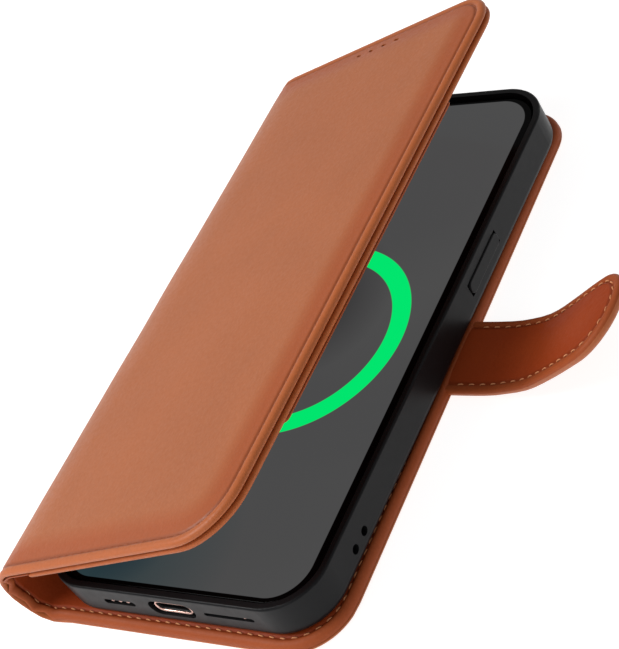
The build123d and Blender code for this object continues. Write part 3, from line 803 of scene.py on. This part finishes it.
# ---------------------------------------------------------------- strap
STRAP_TIP_R = 10.1
STRAP_SEAM = 2.0
STRAP_INNER_T = 0.9
STRAP_OUTER_T = 1.6
STRAP_CUTS = (STRAP.nearest(46.8, 1.85), STRAP.nearest(57.7, 4.2))
STRAP_SPAN_Y = (STRAP_Y - STRAP_W / 2, STRAP_Y + STRAP_W / 2)


def strap_inner_top(d, u, v):
    face = STRAP_INNER_T + 0.12 * smooth(2.4, 6.0, d) + waves(u, v, 9.0, 0.06, 2.0)
    return face - round_over(d, STRAP_INNER_T - 0.05, 0.8) - groove(d, STRAP_SEAM, 0.24)


def strap_outer_top(d, u, v):
    return -(STRAP_OUTER_T - round_over(d, STRAP_OUTER_T - 0.05, 1.3) - groove(d, STRAP_SEAM, 0.24))


def strap_middle(d, u, v):
    return 0.0


strap_bounds = (0.0,) + STRAP_CUTS + (STRAP.length,)
strap_pieces = []
for index, part in enumerate(("bridge", "side", "flap")):
    start, stop = strap_bounds[index], strap_bounds[index + 1]
    free = (index == 0, index == 2, True, True)
    for side, top, material, slot in (
        ("inner", strap_inner_top, inner_leather, "leather_inner"),
        ("outer", strap_outer_top, outer_leather, "leather_outer"),
    ):
        strap_pieces.append(
            (
                part,
                side,
                sheet(
                    f"strap_{part}_{side}",
                    on_strap,
                    (start, stop),
                    STRAP_SPAN_Y,
                    free,
                    (0.6, 0.6, STRAP_TIP_R, STRAP_TIP_R),
                    top,
                    strap_middle,
                    material,
                    slot,
                ),
            )
        )


# ---------------------------------------------------------------- stitching
THREAD_R = 0.17
STITCH_RINGS = 5
STITCH_SIDES = 7


def corner_track(u, v, inset, low_radius, high_radius):
    """Flat points inset from a sheet's edges: along low v, round the high-u end, back along high v."""
    end = u[1] - inset
    low, high = v[0] + inset, v[1] - inset
    low_turn = max(low_radius - inset, 0.5)
    high_turn = max(high_radius - inset, 0.5)
    first = arc_points(Vector((end - low_turn, low + low_turn)), low_turn, -90, 0)
    second = arc_points(Vector((end - high_turn, high - high_turn)), high_turn, 0, 90)
    return [Vector((u[0], low))] + first + second + [Vector((u[0], high))]


def arc_points(centre, radius, start, stop, count=14):
    turns = (math.radians(start + (stop - start) * i / count) for i in range(count + 1))
    return [centre + Vector((math.cos(t), math.sin(t))) * radius for t in turns]


def walk(points, spacing):
    """Evenly spaced places along a flat line, with its direction at each."""
    lengths = [0.0]
    for a, b in zip(points, points[1:]):
        lengths.append(lengths[-1] + (b - a).length)
    count = int(lengths[-1] / spacing)
    margin = (lengths[-1] - count * spacing) / 2
    for i in range(count):
        s = margin + (i + 0.5) * spacing
        k = min(bisect.bisect_right(lengths, s), len(points) - 1)
        a, b = points[k - 1], points[k]
        if (b - a).length > 1e-6:
            yield a.lerp(b, (s - lengths[k - 1]) / (b - a).length), (b - a).normalized()


def stitches(name, place, track, height, side, pitch, length, material, lean=0.10, keep=None):
    """A row of short threads that dip into the leather at both ends."""
    net = bmesh.new()
    for centre, along in walk(track, pitch):
        if keep and not keep(centre):
            continue
        across = Vector((-along.y, along.x))
        rings = []
        for i in range(STITCH_RINGS + 1):
            t = 2 * i / STITCH_RINGS - 1
            flat = centre + along * (t * length / 2) + across * (t * lean)
            lift = height(flat.x, flat.y) + side * (THREAD_R * (1 - 1.5 * t ** 4))
            girth = THREAD_R * (1 - 0.35 * t ** 4)
            ring = []
            for k in range(STITCH_SIDES):
                turn = 2 * math.pi * k / STITCH_SIDES
                spot = flat + across * (girth * 1.1 * math.cos(turn))
                ring.append(net.verts.new(place(spot.x, spot.y, lift + girth * 0.8 * math.sin(turn))))
            rings.append(ring)
        for a, b in zip(rings, rings[1:]):
            for k in range(STITCH_SIDES):
                m = (k + 1) % STITCH_SIDES
                net.faces.new((a[k], a[m], b[m], b[k]))
        net.faces.new(rings[0])
        net.faces.new(rings[-1])
    return finish_mesh(name, net, material, "thread")


def back_track(u_to, inset):
    """The seam's line round the back cover, whose free end is at low u."""
    flipped = corner_track((-u_to, 0.0), BACK_Y, inset, BACK_LOW_R, BACK_HIGH_R)
    return [Vector((-p.x, p.y)) for p in flipped]


def lining_seam_height(u, v):
    return -(lining_thickness(u) - 0.30)


def back_seam_height(u, v):
    return outer_thickness(u) - 0.44


STITCH_PITCH = 2.85
LINING_STITCH = 1.6
BACK_STITCH = 1.8
FRONT_STITCH = 2.1
STRAP_STITCH = 1.4
back_inner_stitches = stitches(
    "back_inner_stitches",
    on_lining_side,
    back_track(SPINE_MIDDLE, BACK_SEAM),
    lining_seam_height,
    -1,
    STITCH_PITCH,
    LINING_STITCH,
    light_thread,
)
back_outer_stitches = stitches(
    "back_outer_stitches",
    on_wrap,
    back_track(SPINE_LOW - 3, SEAM),
    back_seam_height,
    1,
    STITCH_PITCH,
    BACK_STITCH,
    dark_thread,
)

front_span = (SPINE_HIGH + 2.0, COVER_START + COVER_W)
front_track = corner_track(front_span, BACK_Y, SEAM, COVER_LOW_R, COVER_HIGH_R)


def front_seam_height(u, v):
    return outer_thickness(u) - 0.46


front_outer_stitches = stitches(
    "front_outer_stitches",
    on_cover_side,
    front_track,
    front_seam_height,
    1,
    STITCH_PITCH,
    FRONT_STITCH,
    dark_thread,
)
strap_stitch_start = STRAP.nearest(42.9, 1.72) - 5.0
strap_stitch_span = (strap_stitch_start, STRAP.length)
strap_track = corner_track(strap_stitch_span, STRAP_SPAN_Y, STRAP_SEAM, STRAP_TIP_R, STRAP_TIP_R)
strap_stitch_rows = []
for index, part in enumerate(("bridge", "side", "flap")):
    start, stop = strap_bounds[index], strap_bounds[index + 1]
    for side_name, sign, level in (("inner", 1, STRAP_INNER_T - 0.2), ("outer", -1, 0.3 - STRAP_OUTER_T)):
        strap_stitch_rows.append(
            (
                part,
                stitches(
                    f"strap_{part}_{side_name}_stitches",
                    on_strap,
                    strap_track,
                    lambda u, v, level=level: level,
                    sign,
                    STITCH_PITCH,
                    STRAP_STITCH,
                    light_thread,
                    keep=lambda p, start=start, stop=stop: start <= p.x < stop,
                ),
            )
        )


def slot_outline(cx, cy, length, width, tilt):
    radius = width / 2
    reach = Vector((math.cos(math.radians(tilt)), math.sin(math.radians(tilt)))) * (length / 2 - radius)
    centre = Vector((cx, cy))
    return arc_points(centre + reach, radius, tilt - 90, tilt + 90, 6) + arc_points(
        centre - reach, radius, tilt + 90, tilt + 270, 6
    )


# ---------------------------------------------------------------- bright rims of socket and sound holes
HOOP_SIDES = 10


def hoop(net, outline, girth, y):
    """A round wire bent to a closed flat outline that stands in the XZ plane."""
    count = len(outline)
    rings = []
    for i, spot in enumerate(outline):
        along = (outline[(i + 1) % count] - outline[i - 1]).normalized()
        across = Vector((-along.y, along.x))
        ring = []
        for k in range(HOOP_SIDES):
            turn = 2 * math.pi * k / HOOP_SIDES
            point = spot + across * (girth * math.cos(turn))
            ring.append(net.verts.new(Vector((point.x, y + girth * math.sin(turn), point.y)) * MM))
        rings.append(ring)
    for a, b in zip(rings, rings[1:] + rings[:1]):
        for k in range(HOOP_SIDES):
            m = (k + 1) % HOOP_SIDES
            net.faces.new((a[k], a[m], b[m], b[k]))


SOCKET_Z = 8.75
SOCKET_RIM_Y = -74.85
SOCKET_RIM = (10.0, 3.3)
SOCKET_RIM_GIRTH = 0.30
hoops = bmesh.new()
hoop(hoops, slot_outline(0, SOCKET_Z, *SOCKET_RIM, 0.0), SOCKET_RIM_GIRTH, SOCKET_RIM_Y)
socket_rim = finish_mesh("socket_rim", hoops, socket_metal, "socket_metal")

SLEEVE_WALL = 0.35
SLEEVE_BACK_Y = -73.75
SLEEVE_CORNERS = (
    (SLEEVE_WALL, SOCKET_RIM_Y),
    (SLEEVE_WALL, SLEEVE_BACK_Y),
    (-SLEEVE_WALL, SLEEVE_BACK_Y),
    (-SLEEVE_WALL, SOCKET_RIM_Y),
)
sleeve = bmesh.new()
sleeve_rings = []
for growth, y in SLEEVE_CORNERS:
    outline = slot_outline(0, SOCKET_Z, SOCKET_RIM[0] + growth, SOCKET_RIM[1] + growth, 0.0)
    sleeve_rings.append([sleeve.verts.new(Vector((p.x, y, p.y)) * MM) for p in outline])
for front, back in zip(sleeve_rings, sleeve_rings[1:] + sleeve_rings[:1]):
    for k in range(len(front)):
        sleeve.faces.new((front[k - 1], front[k], back[k], back[k - 1]))
socket_sleeve = finish_mesh("socket_sleeve", sleeve, socket_plastic, "socket_plastic")

SOUND_HOLE_Y = -75.1
SOUND_HOLE_Z = 8.9
SOUND_HOLE_R = 0.42
SOUND_HOLE_GIRTH = 0.15
SOUND_HOLES_X = (-17.4, -15.2, -13.0, 19.6)
hoops = bmesh.new()
for hole_x in SOUND_HOLES_X:
    circle = arc_points(Vector((hole_x, SOUND_HOLE_Z)), SOUND_HOLE_R, 0, 330, 11)
    hoop(hoops, circle, SOUND_HOLE_GIRTH, SOUND_HOLE_Y)
sound_hole_rims = finish_mesh("sound_hole_rims", hoops, socket_metal, "socket_metal")

# ---------------------------------------------------------------- cut the openings
def cutter_from(outline, low, high, place):
    """A closed prism from a flat outline, for a boolean cut."""
    net = bmesh.new()
    lower = [net.verts.new(place(p.x, p.y, low)) for p in outline]
    upper = [net.verts.new(place(p.x, p.y, high)) for p in outline]
    count = len(outline)
    for i in range(count):
        j = (i + 1) % count
        net.faces.new((lower[i], lower[j], upper[j], upper[i]))
    net.faces.new(lower)
    net.faces.new(upper)
    bmesh.ops.recalc_face_normals(net, faces=net.faces)
    mesh = bpy.data.meshes.new("cutter")
    net.to_mesh(mesh)
    net.free()
    cutter = bpy.data.objects.new("cutter", mesh)
    bpy.context.collection.objects.link(cutter)
    return cutter


def cut(piece, cutters):
    """Cuts holes in a piece and keeps the result as its mesh."""
    for cutter in cutters:
        modifier = piece.modifiers.new("cut", "BOOLEAN")
        modifier.operation = "DIFFERENCE"
        modifier.solver = "EXACT"
        modifier.object = cutter
    graph = bpy.context.evaluated_depsgraph_get()
    result = bpy.data.meshes.new_from_object(piece.evaluated_get(graph))
    piece.modifiers.clear()
    piece.data = result
    for cutter in cutters:
        bpy.data.objects.remove(cutter)


def rounded_square(cx, cy, size, radius):
    half = size / 2 - radius
    corners = ((1, 1, 0), (-1, 1, 90), (-1, -1, 180), (1, -1, 270))
    return [
        p
        for sx, sy, start in corners
        for p in arc_points(Vector((cx + sx * half, cy + sy * half)), radius, start, start + 90, 8)
    ]


def flat_place(x, y, z):
    return Vector((x, y, z)) * MM


CAMERA_CENTRE = (17.4, 53.0)
CAMERA_HOLE = 36.0
CAMERA_HOLE_R = 10.5
for piece in (back_leather_skin, back_lining_skin):
    hole = rounded_square(*CAMERA_CENTRE, CAMERA_HOLE, CAMERA_HOLE_R)
    cut(piece, [cutter_from(hole, -5, 8, flat_place)])

EAR_SLOTS_W = (31.3, 35.8, 40.6, 45.3)
EAR_SLOTS_Y = 73.8
EAR_SLOT = (1.9, 0.9)
EAR_SLOT_TILT = -20.0
EAR_SLOT_FLOOR = LEATHER_T - 1.2
slot_cutters = []
for w in EAR_SLOTS_W:
    outline = slot_outline(COVER_START + w, EAR_SLOTS_Y, *EAR_SLOT, EAR_SLOT_TILT)
    slot_cutters.append(cutter_from(outline, EAR_SLOT_FLOOR, 4, on_wrap))
cut(front_leather_skin, slot_cutters)

for piece in (back_leather_skin, back_lining_skin, back_inner_stitches, back_outer_stitches):
    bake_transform(piece)
for piece in (front_leather_skin, spine_lining_upper):
    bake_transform(piece)
for piece in [front_panel, front_outer_stitches] + pockets:
    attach(piece, "front_cover")
for piece in (socket_rim, socket_sleeve, sound_hole_rims):
    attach(piece, "case_back")

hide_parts("back_leather", "spine_leather")
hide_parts("back_lining", "spine_lining")
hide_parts("back_stitching")
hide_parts("front_leather")
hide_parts("front_lining")
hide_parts("front_stitching")
for level, piece in enumerate(pockets):
    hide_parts(f"card_pocket_{level + 1}")

STRAP_BODIES = {
    "bridge": ("case_back", "strap_bridge", (41.4, 1.72), (44.6, 1.75)),
    "side": ("strap_bridge", "strap_side", (48.4, 2.0), (52.8, 2.8)),
    "flap": ("strap_side", "strap_flap", (61.3, 6.0), (67.6, 10.1)),
}
for part, side, piece in strap_pieces:
    low_body, high_body, start, end = STRAP_BODIES[part]
    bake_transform(piece)
    kind = "lining" if side == "inner" else "leather"
    if part == "bridge" and side == "outer":
        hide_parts("strap_bridge_leather", "strap_root")
    else:
        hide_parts(f"strap_{part}_{kind}")
for part, piece in strap_stitch_rows:
    low_body, high_body, start, end = STRAP_BODIES[part]
    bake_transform(piece)
    if "inner" in piece.name:
        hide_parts(f"strap_{part}_stitching")
